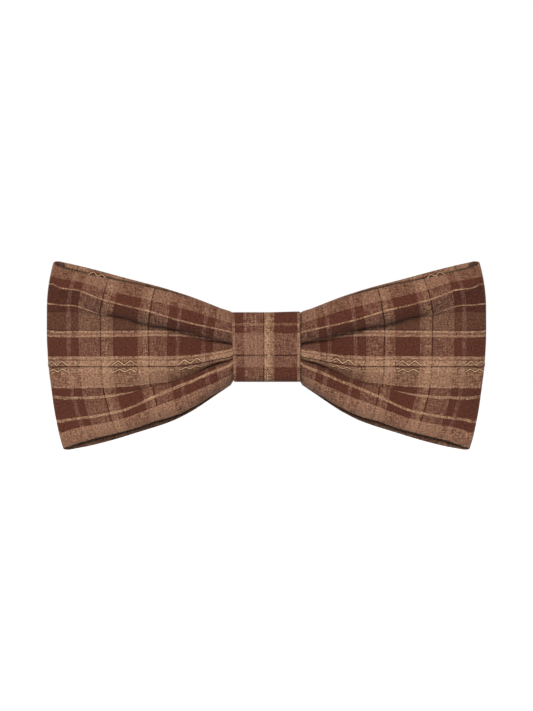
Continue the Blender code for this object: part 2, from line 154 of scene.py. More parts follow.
# The back layer likewise, standing back from its plane.
BACK_SECTIONS = {
    0.00: [
        (0.00, 9.3, 0.0), (0.14, 7.0, 0.7), (0.28, 4.6, -0.6), (0.42, 1.8, 0.3), (0.50, -0.4, -0.4),
        (0.60, -2.4, 0.3), (0.74, -5.2, -0.6), (0.88, -8.0, 0.7), (1.00, -9.9, 0.0),
    ],
    0.30: [
        (0.00, 14.7, 0.5), (0.13, 10.6, 1.1), (0.28, 5.9, -0.3), (0.42, 1.6, 0.0), (0.50, -1.4, -0.2),
        (0.60, -5.0, 0.0), (0.74, -10.1, -0.3), (0.88, -15.2, 1.1), (1.00, -18.7, 0.5),
    ],
    0.62: [
        (0.00, 18.9, 0.6), (0.15, 12.9, 0.9), (0.30, 6.6, 0.1), (0.50, -2.2, -0.1), (0.70, -11.2, 0.1),
        (0.86, -18.2, 0.9), (1.00, -23.8, 0.6),
    ],
    0.86: [
        (0.00, 21.9, 0.3), (0.15, 15.2, 0.4), (0.30, 7.6, 0.1), (0.50, -2.3, 0.0), (0.70, -12.4, 0.1),
        (0.86, -20.4, 0.4), (1.00, -26.8, 0.3),
    ],
}
BACK_PLANES = {0.00: -4.6, 0.30: -4.6, 0.62: -4.8, 0.86: -5.2, 0.96: -5.5, 1.00: -6.0}
FOLD_RADIUS = 1.3 * MM

# Where a curve through the points turns back, its slope is cut to this share.
TURNING_SLOPE = 0.35

# The outer fold's line, seen from the front.
FOLD_FAR_X = 60.1 * MM
FOLD_FAR_Z = 6.0 * MM
FOLD_TOP = (58.4 * MM, 23.4 * MM)
FOLD_LOW = (55.6 * MM, -28.0 * MM)

# The most that the strip may stand above or below the knot's middle as it passes through the knot.
PINCH_LIMIT_X = (3.0 * MM, 8.2 * MM, 9.1 * MM, 9.8 * MM)
PINCH_LIMIT_Z = (6.1 * MM, 7.4 * MM, 8.3 * MM, 9.9 * MM)
BUNCH_FRONT_Y = (-8.4 * MM, -11.2 * MM)
BUNCH_BACK_Y = (-4.5 * MM, -6.2 * MM)

# Past this X, cloth lies inside the loop at its top and foot too, because the fold closes them. How
# deep it lies there grows with the distance past it, by this slope. The painted shade follows this depth.
POCKET_X = 57.1 * MM
POCKET_SLOPE = 0.6

# Soft ripples left by handling: size, wavelength along the strip, waves down it, and phase.
RIPPLES = (
    (0.10 * MM, 17.0 * MM, 1.7, 0.0),
    (0.07 * MM, 9.3 * MM, -3.1, 1.3),
    (0.04 * MM, 5.1 * MM, 5.3, 0.6),
)
# They grow over the first distance out of the knot, and lose this share over the last one before the
# fold.
RIPPLE_RISE = 7 * MM
RIPPLE_LOSS = 0.6
RIPPLE_FADE = 6 * MM

# The knot's band: half its width at the top and bottom, and its path round the waist.
BAND_LEFT_TOP = 9.25 * MM
BAND_LEFT_LOW = 8.65 * MM
BAND_RIGHT = 8.95 * MM
BAND_RISE = 0.22 * MM
BAND_HALF = 0.32 * MM
BAND_FRONT_Y = KNOT_LOW.y + BAND_HALF
BAND_BACK_Y = KNOT_HIGH.y - BAND_HALF
BAND_TOP_Z = KNOT_HIGH.z - BAND_HALF
BAND_LOW_Z = KNOT_LOW.z + BAND_HALF
BAND_FRONT_CORNER = 1.5 * MM
BAND_BACK_CORNER = 3.2 * MM
BAND_SEAM_Z = (-3.5 * MM, -4.9 * MM)
BAND_STEP = 0.35 * MM
BAND_ROWS = 53
BAND_EDGE = 0.25 * MM
# How far the band's front swells out, and the wrinkle that leans across it.
BAND_BELLY = 0.12 * MM
WRINKLE_SIZE = 0.05 * MM
WRINKLE_SPACING = 4.3 * MM
WRINKLE_LEAN = 2.6

# The camera looks level along +Y. It sees this width at the depth of the bow's front.
FIELD_WIDTH = 145.4 * MM
FIELD_Y = -12 * MM
CAMERA_DISTANCE = 0.62
CAMERA_Z = -2.3 * MM
SENSOR_WIDTH = 36.0


def lerp(low, high, share):
    return low + (high - low) * share


def smoothstep(low, high, value):
    share = np.clip((np.asarray(value, float) - low) / (high - low), 0.0, 1.0)
    return share * share * (3 - 2 * share)


def unit(vectors):
    return vectors / np.maximum(np.linalg.norm(vectors, axis=-1, keepdims=True), 1e-12)


# ---------------------------------------------------------------- the bow's shape

def fold_line(share):
    """X and Z of the outer fold, from its top at 0 to its foot at 1."""
    z = lerp(FOLD_TOP[1], FOLD_LOW[1], share)
    above = np.clip((z - FOLD_FAR_Z) / (FOLD_TOP[1] - FOLD_FAR_Z), 0, 1) ** 3
    below = np.clip((z - FOLD_FAR_Z) / (FOLD_LOW[1] - FOLD_FAR_Z), 0, 1) ** 2
    x = FOLD_FAR_X - (FOLD_FAR_X - FOLD_TOP[0]) * above - (FOLD_FAR_X - FOLD_LOW[0]) * below
    return x, z


def smooth_through(knots, values, at):
    """Reads a smooth curve through the values at the knots: a cubic that hardly overshoots them."""
    x, y, at = np.array(knots, float), np.array(values, float), np.atleast_1d(at)
    step = np.diff(x)[:, None]
    slope = np.diff(y, axis=0) / step
    tangent = np.vstack([slope[:1], (slope[:-1] + slope[1:]) / 2, slope[-1:]])
    turns_back = np.vstack([slope[:1], slope]) * np.vstack([slope, slope[-1:]]) <= 0
    tangent[turns_back] *= TURNING_SLOPE
    i = np.clip(np.searchsorted(x, at, side="right") - 1, 0, len(step) - 1)
    h = step[i]
    t = ((at - x[i])[:, None]) / h
    return (
        y[i] * (1 + 2 * t) * (1 - t) ** 2 + h * tangent[i] * t * (1 - t) ** 2
        + y[i + 1] * t**2 * (3 - 2 * t) + h * tangent[i + 1] * t**2 * (t - 1)
    )


def loft(sections, planes, forward, reaches):
    """Points of a layer at each reach from knot to fold: reaches x rows x (X, Y, Z)."""
    down = np.linspace(0, 1, ROW_COUNT)
    edge_x, edge_z = fold_line(down)
    curves = [
        smooth_through([p[0] for p in points], [p[1:] for p in points], down) * MM
        for points in sections.values()
    ]
    stations = list(sections)
    if stations[-1] < 1:
        curves.append(np.stack([edge_z, 0 * edge_z], axis=1))
        stations.append(1.0)
    flat = np.array(curves).reshape(len(stations), -1)
    shape = smooth_through(stations, flat, reaches).reshape(len(reaches), ROW_COUNT, 2)
    plane = smooth_through(list(planes), [[y * MM] for y in planes.values()], reaches)
    x = lerp(PINCH_X, (edge_x - FOLD_RADIUS)[None, :], reaches[:, None])
    return np.stack([x, plane - forward * shape[:, :, 1], shape[:, :, 0]], axis=2)


def tucked(column, end_x, bunch_y):
    """The layer inside the knot, from the pinch to end_x, where it is bunched between two planes."""
    xs = np.linspace(PINCH_X, end_x, TUCK_STEPS + 1)[1:]
    share = smoothstep(0, 1, (PINCH_X - xs) / (PINCH_X - PINCH_LIMIT_X[0]))[:, None]
    y = column[:, 1]
    bunched = lerp(bunch_y[0], bunch_y[1], (y.max() - y) / (y.max() - y.min()))
    inner = np.empty((len(xs),) + column.shape)
    inner[:, :, 0] = xs[:, None]
    inner[:, :, 1] = lerp(y[None], bunched[None], share)
    inner[:, :, 2] = column[:, 2]
    return inner


def pinch(columns):
    """Draws the strip in, so that it passes through the knot."""
    x, z = columns[:, :, 0], columns[:, :, 2]
    limit = np.interp(x, PINCH_LIMIT_X, PINCH_LIMIT_Z)
    limit = np.where(x > PINCH_LIMIT_X[-1], 1.0, limit)
    reach = np.where(z > 0, z.max(axis=1, keepdims=True), -z.min(axis=1, keepdims=True))
    columns[:, :, 2] = z * np.minimum(1, limit / reach)


def normals_of(grid):
    return unit(np.cross(np.gradient(grid, axis=1), np.gradient(grid, axis=0)))


def half_strip():
    """The right half of the strip's middle surface, from the knot's middle round the loop to the back.

    Returns columns x rows x 3, and each column's distance along the flat strip.
    """
    edge_x, _ = fold_line(np.linspace(0, 1, ROW_COUNT))
    reaches = np.linspace(0, 1, LAYER_STEPS + 1)
    front = loft(FRONT_SECTIONS, FRONT_PLANES, 1, reaches)
    back = loft(BACK_SECTIONS, BACK_PLANES, -1, reaches)
    turns = math.pi * np.arange(1, FOLD_STEPS)[:, None] / FOLD_STEPS
    share = (1 - np.cos(turns)) / 2
    fold = np.stack([
        edge_x - FOLD_RADIUS + FOLD_RADIUS * np.sin(turns),
        lerp(front[-1, :, 1], back[-1, :, 1], share),
        lerp(front[-1, :, 2], back[-1, :, 2], 1 - (1 - share) ** 2),
    ], axis=2)
    front_tuck = tucked(front[0], 0.0, BUNCH_FRONT_Y)[::-1]
    back_tuck = tucked(back[0], END_X, BUNCH_BACK_Y)
    columns = np.concatenate([front_tuck, front, fold, back[::-1], back_tuck])
    spans = [
        (TUCK_STEPS, PINCH_X), (LAYER_STEPS, LAYER_LENGTH), (FOLD_STEPS, FOLD_LENGTH),
        (LAYER_STEPS, LAYER_LENGTH), (TUCK_STEPS, PINCH_X - END_X),
    ]
    steps = np.concatenate([np.full(count, length / count) for count, length in spans])
    along = np.concatenate([[0], np.cumsum(steps)])
    pinch(columns)
    down = np.linspace(0, 1, ROW_COUNT)[None, :]
    x = columns[:, :, 0]
    free = smoothstep(PINCH_X, PINCH_X + RIPPLE_RISE, x)
    free *= 1 - RIPPLE_LOSS * smoothstep(FOLD_TOP[0] - RIPPLE_FADE, FOLD_TOP[0], x)
    ripple = sum(
        size * np.sin(2 * math.pi * (along[:, None] / length + down * waves) + phase)
        for size, length, waves, phase in RIPPLES
    )
    columns += (ripple * free)[:, :, None] * normals_of(columns)
    return columns, along


def whole_strip():
    """Both halves as one strip, and each column's distance along it from the knot's middle."""
    columns, along = half_strip()
    mirrored = columns[:0:-1] * np.array([-1.0, 1.0, 1.0])
    return np.concatenate([mirrored, columns]), np.concatenate([-along[:0:-1], along])


# ---------------------------------------------------------------- mesh helpers

def mesh_object(name, points, faces, smooth=True):
    mesh = bpy.data.meshes.new(name)
    mesh.from_pydata(np.asarray(points).tolist(), [], [list(face) for face in faces])
    mesh.update()
    if smooth:
        mesh.shade_smooth()
    obj = bpy.data.objects.new(name, mesh)
    bpy.context.scene.collection.objects.link(obj)
    return obj


def corner_vectors(obj, name, values):
    attribute = obj.data.attributes.new(name, "FLOAT_VECTOR", "CORNER")
    attribute.data.foreach_set("vector", np.asarray(values, np.float32).ravel())


def ring_plan(rows):
    """One trip round a strip's cross-section.

    Gives each point's row, its offset along the normal, its offset past the strip's edge, and its
    place down the strip. On the far side the cloth meets at a seam halfway down, and its place runs
    below 0 from the top.
    """
    down = np.linspace(0, 1, rows)
    turns = math.pi * np.arange(1, EDGE_POINTS + 1) / (EDGE_POINTS + 1)
    at_foot, at_top = np.full(EDGE_POINTS, rows - 1), np.zeros(EDGE_POINTS, int)
    row = np.concatenate([np.arange(rows), at_foot, np.arange(rows)[::-1], at_top])
    normal = np.concatenate([np.ones(rows), np.cos(turns), -np.ones(rows), -np.cos(turns)])
    past = np.concatenate([np.zeros(rows), np.sin(turns), np.zeros(rows), np.sin(turns)])
    far_side = np.where(down[::-1] > 0.5, down[::-1], -down[::-1])
    place = np.concatenate([down, np.ones(EDGE_POINTS), far_side, np.zeros(EDGE_POINTS)])
    return row, normal, past, place


def ring_points(grid, normals, half, edge):
    """The surface round a strip, as columns x ring x 3. half is each column's half thickness."""
    rows = grid.shape[1]
    row, normal, past, _ = ring_plan(rows)
    top_out = unit(grid[:, 0] - grid[:, 1])
    foot_out = unit(grid[:, -1] - grid[:, -2])
    out = np.where((row == 0)[None, :, None], top_out[:, None], foot_out[:, None])
    offset = normals[:, row] * (normal[None, :] * half[:, None])[:, :, None]
    return grid[:, row] + offset + out * (past * edge)[None, :, None]


def ring_quads(columns, ring, first, inward):
    """Quads between neighbouring columns of a ring surface whose points start at index first."""
    c, j = np.meshgrid(np.arange(columns - 1), np.arange(ring), indexing="ij")
    c, j = c.ravel(), j.ravel()
    after = (j + 1) % ring
    corners = [first + c * ring + j, first + c * ring + after]
    corners += [first + (c + 1) * ring + after, first + (c + 1) * ring + j]
    quads = np.stack(corners, axis=1)
    return quads[:, ::-1] if inward else quads


def tube_strip(name, grid, normals, half, wall, edge):
    """A pressed tube of cloth, open at both ends: an outer skin, and an inner one of every other column.

    Its outer skin's quads come first. Returns the object and its number of faces.
    """
    outer = ring_points(grid, normals, half, edge)
    inner = ring_points(grid[::2], normals[::2], half[::2] - wall, edge * INNER_EDGE_SHARE)
    columns, ring = outer.shape[:2]
    inner_columns = inner.shape[0]
    start = columns * ring
    outer_quads = ring_quads(columns, ring, 0, False)
    inner_quads = ring_quads(inner_columns, ring, start, True)
    j = np.arange(ring)
    after = (j + 1) % ring
    last, inner_last = (columns - 1) * ring, start + (inner_columns - 1) * ring
    far_end = np.stack([last + j, last + after, inner_last + after, inner_last + j], axis=1)
    near_end = np.stack([after, j, start + j, start + after], axis=1)
    points = np.concatenate([outer.reshape(-1, 3), inner.reshape(-1, 3)])
    faces = np.concatenate([outer_quads, inner_quads, far_end, near_end])
    return mesh_object(name, points, faces.tolist()), len(faces)


def slab_strip(name, grid, normals, half, edge):
    """A solid strip with rounded edges and flat ends."""
    points = ring_points(grid, normals, half, edge)
    columns, ring = points.shape[:2]
    rows = grid.shape[1]
    quads = ring_quads(columns, ring, 0, False).tolist()
    for first, flip in ((0, True), ((columns - 1) * ring, False)):
        near = first + np.arange(rows)
        foot_edge = first + rows + np.arange(EDGE_POINTS)
        top_edge = first + ring - EDGE_POINTS + np.arange(EDGE_POINTS)
        far = first + rows + EDGE_POINTS + np.arange(rows)[::-1]
        ends = np.stack([near[:-1], near[1:], far[1:], far[:-1]], axis=1).tolist()
        ends.append([near[-1], *foot_edge, far[-1]])
        ends.append([far[0], *top_edge, near[0]])
        quads += [face[::-1] for face in ends] if flip else ends
    return mesh_object(name, points.reshape(-1, 3), quads)


NO_PATH_RUNS_THIS_WAY = (0.3, 0.5, 0.8)


def tubes(name, paths, radius, sides=8):
    """Round threads or wires along the paths, in one mesh, with flat ends."""
    points, faces = [], []
    for path in paths:
        path = np.asarray(path, float)
        heading = unit(np.gradient(path, axis=0))
        across = unit(np.cross(heading[0], NO_PATH_RUNS_THIS_WAY))
        for at, ahead in zip(path, heading):
            across = unit(across - ahead * np.dot(across, ahead))
            up = np.cross(ahead, across)
            for k in range(sides):
                turn = 2 * math.pi * k / sides
                points.append(at + radius * (math.cos(turn) * across + math.sin(turn) * up))
        first = len(points) - len(path) * sides
        for i in range(len(path) - 1):
            a, b = first + i * sides, first + (i + 1) * sides
            for k in range(sides):
                after = (k + 1) % sides
                faces.append([a + k, a + after, b + after, b + k])
        faces.append([first + k for k in range(sides)][::-1])
        faces.append([len(points) - sides + k for k in range(sides)])
    return mesh_object(name, points, faces)


def ring_values(along, rows, height):
    """For each outer quad's corners: (distance along, place down the strip as a share and in metres)."""
    place = ring_plan(rows)[3]
    ring = len(place)
    ends = np.roll(place, -1)
    ends = np.where(np.abs(ends - place) > 0.9, place - 1 / (rows - 1), ends)
    c, j = np.meshgrid(np.arange(len(along) - 1), np.arange(ring), indexing="ij")
    c, j = c.ravel(), j.ravel()
    a = np.stack([along[c], along[c], along[c + 1], along[c + 1]], axis=1)
    w = np.stack([place[j], ends[j], ends[j], place[j]], axis=1)
    return np.stack([a, w, w * height], axis=2)


# ---------------------------------------------------------------- materials

def colour(red, green, blue):
    """A colour given as it looks on screen, from 0 to 255, in the linear values that a shader takes."""
    screen = np.array([red, green, blue]) / 255
    linear = np.where(screen <= 0.04045, screen / 12.92, ((screen + 0.055) / 1.055) ** 2.4)
    return (*(float(part) for part in linear), 1.0)


MAROON = colour(87, 44, 30)
# A darker copy of MAROON: painted shade on the strip's two upper maroon bands.
SHADED_MAROON = colour(60, 28, 16)
DEEP_MAROON = colour(50, 24, 17)
CLAY = colour(138, 98, 78)
DUSKY = colour(128, 88, 74)
# A darker copy of TAN. On the strip's top band it is painted shade; the knot uses it for one of its
# stripes.
DULL_TAN = colour(139, 100, 77)
LINE_TAN = colour(180, 141, 108)
TAN = colour(162, 121, 94)
# A lighter copy of TAN: painted light on the strip's foot band, against the shade where it turns under.
LIT_TAN = colour(172, 127, 99)
# A darker, greener tan, made darker still as painted shade for the band that lies under the upper pleat.
SHADED_OLIVE_TAN = colour(93, 63, 43)
PALE_TAN = colour(178, 139, 108)
WHEAT = colour(200, 160, 122)

# Stripes that run along the strip, each from a share of the way down it. Painted shade darkens the top
# band, the two upper maroon bands and the band under the upper pleat, and painted light lightens the foot
# band.
STRIPES_ALONG = (
    (0.000, DULL_TAN), (0.062, MAROON), (0.110, LINE_TAN), (0.121, SHADED_MAROON), (0.211, LINE_TAN),
    (0.222, SHADED_MAROON), (0.261, SHADED_OLIVE_TAN), (0.346, DEEP_MAROON), (0.354, PALE_TAN), (0.366, CLAY),
    (0.376, PALE_TAN), (0.387, MAROON), (0.497, PALE_TAN), (0.512, CLAY), (0.521, PALE_TAN),
    (0.5495, DEEP_MAROON), (0.5575, PALE_TAN), (0.584, TAN), (0.655, PALE_TAN), (0.663, MAROON),
    (0.703, LINE_TAN), (0.718, MAROON), (0.832, LINE_TAN), (0.846, MAROON), (0.892, LIT_TAN),
)
# The pattern down the strip repeats after this share of its height.
REPEAT_DOWN = 0.609

# Stripes that cross the strip, each from a share of one repeat.
STRIPES_ACROSS = (
    (0.000, DUSKY), (0.028, MAROON), (0.089, CLAY), (0.244, DEEP_MAROON), (0.256, TAN),
    (0.304, CLAY), (0.341, MAROON), (0.526, CLAY), (0.563, TAN), (0.600, DEEP_MAROON),
    (0.612, CLAY), (0.741, MAROON), (0.807, DUSKY), (0.835, MAROON),
)
REPEAT_ALONG = 37.6 * MM
ACROSS_START = 1.227
# The crossing stripes lean towards the knot at the strip's top and foot: each lean is full at the
# first share down the strip and gone at the second.
TOP_LEAN = (1.0 * MM, 0.0, 0.20)
FOOT_LEAN = (1.6 * MM, 1.0, 0.68)

# The knot's own stripes: up its front, each from a height above the knot's middle, and across it from
# -X to +X.
KNOT_STRIPES_UP = (
    (-9.0 * MM, MAROON), (-5.5 * MM, CLAY), (-2.50 * MM, DEEP_MAROON), (-2.15 * MM, CLAY),
    (3.6 * MM, MAROON), (5.75 * MM, DULL_TAN), (6.5 * MM, MAROON),
)
KNOT_STRIPES_ACROSS = (
    (0.000, TAN), (0.024, MAROON), (0.157, CLAY), (0.180, TAN), (0.196, CLAY), (0.330, TAN),
    (0.345, CLAY), (0.448, DEEP_MAROON), (0.468, WHEAT), (0.552, TAN), (0.614, MAROON),
    (0.968, PALE_TAN),
)

YARN_PITCH = 0.34 * MM
# Cells of noise in a metre of cloth, along it and across it: slubs in both sets of yarns, flecks, and
# worn patches.
LONG_SLUBS = (450.0, 3200.0, 1.0)
CROSS_SLUBS = (3200.0, 450.0, 1.0)
FLECKS = (1900.0, 1900.0, 1.0)
WORN_PATCHES = (120.0, 150.0, 1.0)
# The share of the crossing yarns that shows, and how far the slubs and the weave shift it.
CROSSING_SHARE = 0.44
SLUB_SHIFT = 2.0
WEAVE_SHIFT = 0.22
# How strongly flecks and worn patches lighten and darken the cloth.
FLECK_STRENGTH = 2.7
WORN_STRENGTH = 0.25

# Painted shade: the cloth inside the bow's loop is painted darker than the rest, down to this share of
# the brightness, as the shade between the layers. It starts to darken a little outside the front layer's
# outline, at the first distance, and is fully dark at the second. Below 0 is outside that outline.
PAINTED_LOOP_SHADE = 0.30
PAINTED_SHADE_FROM = (-1.10 * MM, -0.75 * MM)
# The place given to cloth that never lies inside the loop, and so gets no painted shade.
OUTSIDE = -3 * MM


class Nodes:
    """A material's node tree, with the few kinds of node that the cloths and metals are made from."""

    def __init__(self, name, roughness, metallic=0.0):
        self.material = bpy.data.materials.new(name)
        self.material.use_nodes = True
        self.tree = self.material.node_tree
        self.shader = self.tree.nodes["Principled BSDF"]
        self.shader.inputs["Roughness"].default_value = roughness
        self.shader.inputs["Metallic"].default_value = metallic

    def link(self, source, target):
        self.tree.links.new(source, target)

    def put(self, value, socket):
        """Links a socket, or sets a plain number or vector."""
        if isinstance(value, bpy.types.NodeSocket):
            self.link(value, socket)
        else:
            socket.default_value = value

    def attribute(self, name):
        node = self.tree.nodes.new("ShaderNodeAttribute")
        node.attribute_name = name
        return node.outputs["Vector"]

    def place(self):
        return self.tree.nodes.new("ShaderNodeTexCoord").outputs["Object"]

    def split(self, vector):
        node = self.tree.nodes.new("ShaderNodeSeparateXYZ")
        self.link(vector, node.inputs[0])
        return node.outputs["X"], node.outputs["Y"], node.outputs["Z"]

    def maths(self, operation, first, second=0.0, third=0.0):
        node = self.tree.nodes.new("ShaderNodeMath")
        node.operation = operation
        for value, socket in zip((first, second, third), node.inputs):
            self.put(value, socket)
        return node.outputs[0]

    def eased(self, value, start_end, results):
        """Goes smoothly from the first result to the second as the value goes from start to end."""
        node = self.tree.nodes.new("ShaderNodeMapRange")
        node.interpolation_type = "SMOOTHSTEP"
        self.link(value, node.inputs["Value"])
        node.inputs["From Min"].default_value, node.inputs["From Max"].default_value = start_end
        node.inputs["To Min"].default_value, node.inputs["To Max"].default_value = results
        return node.outputs["Result"]

    def stretched(self, vector, scale):
        node = self.tree.nodes.new("ShaderNodeVectorMath")
        node.operation = "MULTIPLY"
        self.put(vector, node.inputs[0])
        self.put(scale, node.inputs[1])
        return node.outputs[0]

    def noise(self, vector, scale, detail=2.0):
        """Noise from about 0.25 to 0.75. scale gives how many cells a metre holds each way."""
        node = self.tree.nodes.new("ShaderNodeTexNoise")
        self.link(self.stretched(vector, scale), node.inputs["Vector"])
        node.inputs["Scale"].default_value = 1.0
        node.inputs["Detail"].default_value = detail
        return node.outputs["Fac"]

    def ramp(self, value, stops, interpolation="CONSTANT"):
        node = self.tree.nodes.new("ShaderNodeValToRGB")
        node.color_ramp.interpolation = interpolation
        elements = node.color_ramp.elements
        while len(elements) < len(stops):
            elements.new(0.5)
        for element, (at, tint) in zip(elements, stops):
            element.position = at
            element.color = tint
        self.link(value, node.inputs[0])
        return node.outputs["Color"]

    def mix(self, share, first, second, blend="MIX"):
        node = self.tree.nodes.new("ShaderNodeMix")
        node.data_type = "RGBA"
        node.blend_type = blend
        self.put(share, node.inputs["Factor"])
        self.put(first, node.inputs["A"])
        self.put(second, node.inputs["B"])
        return node.outputs["Result"]

    def shade(self, tint, amount):
        """The tint made lighter or darker by an amount that is 1 where it is left as it is."""
        node = self.tree.nodes.new("ShaderNodeVectorMath")
        node.operation = "SCALE"
        self.link(tint, node.inputs[0])
        self.put(amount, node.inputs["Scale"])
        return node.outputs[0]

    def bump(self, height, distance, strength):
        node = self.tree.nodes.new("ShaderNodeBump")
        node.inputs["Distance"].default_value = distance
        node.inputs["Strength"].default_value = strength
        self.link(height, node.inputs["Height"])
        self.link(node.outputs["Normal"], self.shader.inputs["Normal"])


def plaid_cloth(name, along_stops, across_stops):
    """Yarn-dyed plaid in a plain weave.

    Its mesh carries "plaid", the place in the pattern, and "thread": the place on the flat cloth and
    how far inside the bow's loop it lies, in metres. Inside the loop the cloth gets a painted shade.
    """
    nodes = Nodes(name, 0.88)
    across_at, along_at, _ = nodes.split(nodes.attribute("plaid"))
    thread = nodes.attribute("thread")
    thread_x, thread_y, inside = nodes.split(thread)
    before = nodes.maths("MULTIPLY", nodes.maths("LESS_THAN", along_at, 0.0), REPEAT_DOWN)
    beyond = nodes.maths("MULTIPLY", nodes.maths("GREATER_THAN", along_at, 1.0), -REPEAT_DOWN)
    along_at = nodes.maths("ADD", nodes.maths("ADD", along_at, before), beyond)
    lengthwise = nodes.ramp(along_at, along_stops)
    crosswise = nodes.ramp(nodes.maths("FRACT", across_at), across_stops)

    turns = math.pi / YARN_PITCH
    yarns = nodes.maths(
        "MULTIPLY",
        nodes.maths("SINE", nodes.maths("MULTIPLY", thread_x, turns)),
        nodes.maths("SINE", nodes.maths("MULTIPLY", thread_y, turns)),
    )
    long_slubs = nodes.noise(thread, LONG_SLUBS)
    cross_slubs = nodes.noise(thread, CROSS_SLUBS)
    difference = nodes.maths("SUBTRACT", long_slubs, cross_slubs)
    share = nodes.maths("MULTIPLY_ADD", difference, SLUB_SHIFT, CROSSING_SHARE)
    share = nodes.maths("MULTIPLY_ADD", yarns, WEAVE_SHIFT, share)
    clamp = nodes.tree.nodes.new("ShaderNodeClamp")
    nodes.link(share, clamp.inputs["Value"])
    weave = nodes.mix(clamp.outputs[0], lengthwise, crosswise)

    flecks = nodes.noise(thread, FLECKS, 3.0)
    worn = nodes.noise(thread, WORN_PATCHES, 3.0)
    value = nodes.maths("MULTIPLY_ADD", nodes.maths("SUBTRACT", flecks, 0.5), FLECK_STRENGTH, 1.0)
    value = nodes.maths("MULTIPLY_ADD", nodes.maths("SUBTRACT", worn, 0.5), WORN_STRENGTH, value)
    # Painted shade: darkens the cloth inside the bow's loop.
    value = nodes.maths("MULTIPLY", value, nodes.eased(inside, PAINTED_SHADE_FROM, (1.0, PAINTED_LOOP_SHADE)))
    nodes.link(nodes.shade(weave, value), nodes.shader.inputs["Base Color"])
    nodes.shader.inputs["Specular IOR Level"].default_value = 0.18
    nodes.shader.inputs["Sheen Weight"].default_value = 0.08
    nodes.shader.inputs["Sheen Roughness"].default_value = 0.55
    nodes.shader.inputs["Sheen Tint"].default_value = colour(214, 186, 160)
    height = nodes.maths("MULTIPLY_ADD", yarns, 0.5, nodes.maths("ADD", flecks, long_slubs))
    nodes.bump(height, 0.05 * MM, 0.55)
    return nodes.material


def felt(name, dark, light):
    """Matted interlining, with crossing fibres and small flecks."""
    nodes = Nodes(name, 0.95)
    place = nodes.place()
    fibres = nodes.noise(place, (900.0, 2600.0, 5200.0), 4.0)
    flecks = nodes.noise(place, (1500.0, 1500.0, 1500.0), 3.0)
    tint = nodes.ramp(fibres, ((0.30, dark), (0.62, light)), "LINEAR")
    value = nodes.maths("MULTIPLY_ADD", nodes.maths("SUBTRACT", flecks, 0.5), 0.35, 1.0)
    nodes.link(nodes.shade(tint, value), nodes.shader.inputs["Base Color"])
    nodes.shader.inputs["Sheen Weight"].default_value = 0.2
    nodes.bump(fibres, 0.08 * MM, 0.6)
    return nodes.material


def sewing_thread(name, dark, light):
    """Twisted polyester thread: fine bands wound round it, with a dull shine."""
    nodes = Nodes(name, 0.55)
    place = nodes.place()
    twist = nodes.tree.nodes.new("ShaderNodeTexWave")
    twist.bands_direction = "DIAGONAL"
    twist.inputs["Scale"].default_value = 1.0
    twist.inputs["Distortion"].default_value = 1.2
    nodes.link(nodes.stretched(place, (900.0, 900.0, 900.0)), twist.inputs["Vector"])
    tint = nodes.ramp(twist.outputs["Fac"], ((0.1, dark), (0.8, light)), "LINEAR")
    nodes.link(tint, nodes.shader.inputs["Base Color"])
    nodes.shader.inputs["Specular IOR Level"].default_value = 0.2
    nodes.shader.inputs["Sheen Weight"].default_value = 0.03
    nodes.bump(twist.outputs["Fac"], 0.03 * MM, 0.5)
    return nodes.material


def plated_steel(name, tint, dull, roughness, grain):
    """Plated or drawn steel: fine grain one way, faint rubbed patches, and darker specks of tarnish."""
    nodes = Nodes(name, roughness, 1.0)
    place = nodes.place()
    lines = nodes.noise(place, grain, 3.0)
    patches = nodes.noise(place, (260.0, 260.0, 260.0), 4.0)
    specks = nodes.noise(place, (1700.0, 1700.0, 1700.0), 2.0)
    rubbed = nodes.ramp(patches, ((0.35, dull), (0.62, tint)), "LINEAR")
    tarnish = ((0.27, colour(150, 146, 140)), (0.33, colour(255, 255, 255)))
    spotted = nodes.ramp(specks, tarnish, "LINEAR")
    nodes.link(nodes.mix(1.0, rubbed, spotted, "MULTIPLY"), nodes.shader.inputs["Base Color"])
    rough = nodes.maths("MULTIPLY_ADD", patches, -0.22, roughness + 0.11)
    rough = nodes.maths("MULTIPLY_ADD", lines, 0.16, rough)
    nodes.link(rough, nodes.shader.inputs["Roughness"])
    nodes.bump(lines, 0.02 * MM, 0.35)
    return nodes.material


def dress(obj, material, body):
    """Gives a piece its material, and a new piece the body that it moves with."""
    obj.data.materials.clear()
    obj.data.materials.append(material)
    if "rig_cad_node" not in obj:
        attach(obj, body)
    return obj


lining_felt = felt("interlining_felt", colour(205, 198, 182), colour(238, 233, 221))
knot_felt = felt("knot_felt", colour(70, 46, 37), colour(98, 68, 54))
maroon_thread = sewing_thread("maroon_thread", colour(62, 34, 27), colour(108, 66, 52))
# Dark thread for the rows beside the pale stitches: a painted shadow of the raised pale thread.
stitch_shadow_thread = sewing_thread("stitch_shadow_thread", colour(70, 38, 22), colour(104, 62, 40))
pale_thread = sewing_thread("pale_thread", colour(216, 170, 126), colour(250, 212, 170))
nickel = plated_steel(
    "nickel_plate", colour(172, 170, 165), colour(148, 145, 139), 0.30, (300.0, 5000.0, 5000.0)
)
spring_wire = plated_steel(
    "spring_wire", colour(150, 151, 153), colour(116, 117, 119), 0.34, (4000.0, 4000.0, 900.0)
)


# ---------------------------------------------------------------- the bow

strip, strip_along = whole_strip()
strip_normals = normals_of(strip)


def half_thickness():
    """Half the tube's thickness at each column. It is pressed thinner in the knot and at the fold."""
    x = np.abs(strip[:, :, 0]).mean(axis=1)
    half = lerp(PINCHED_HALF, STRIP_HALF, smoothstep(*SWELLS_AT, x))
    return lerp(half, FOLD_HALF, smoothstep(*THINS_AT, x))


strip_half = half_thickness()


def corners_of(obj):
    """The point that each face corner stands on."""
    found = np.zeros(len(obj.data.loops), np.int32)
    obj.data.loops.foreach_get("vertex_index", found)
    return found


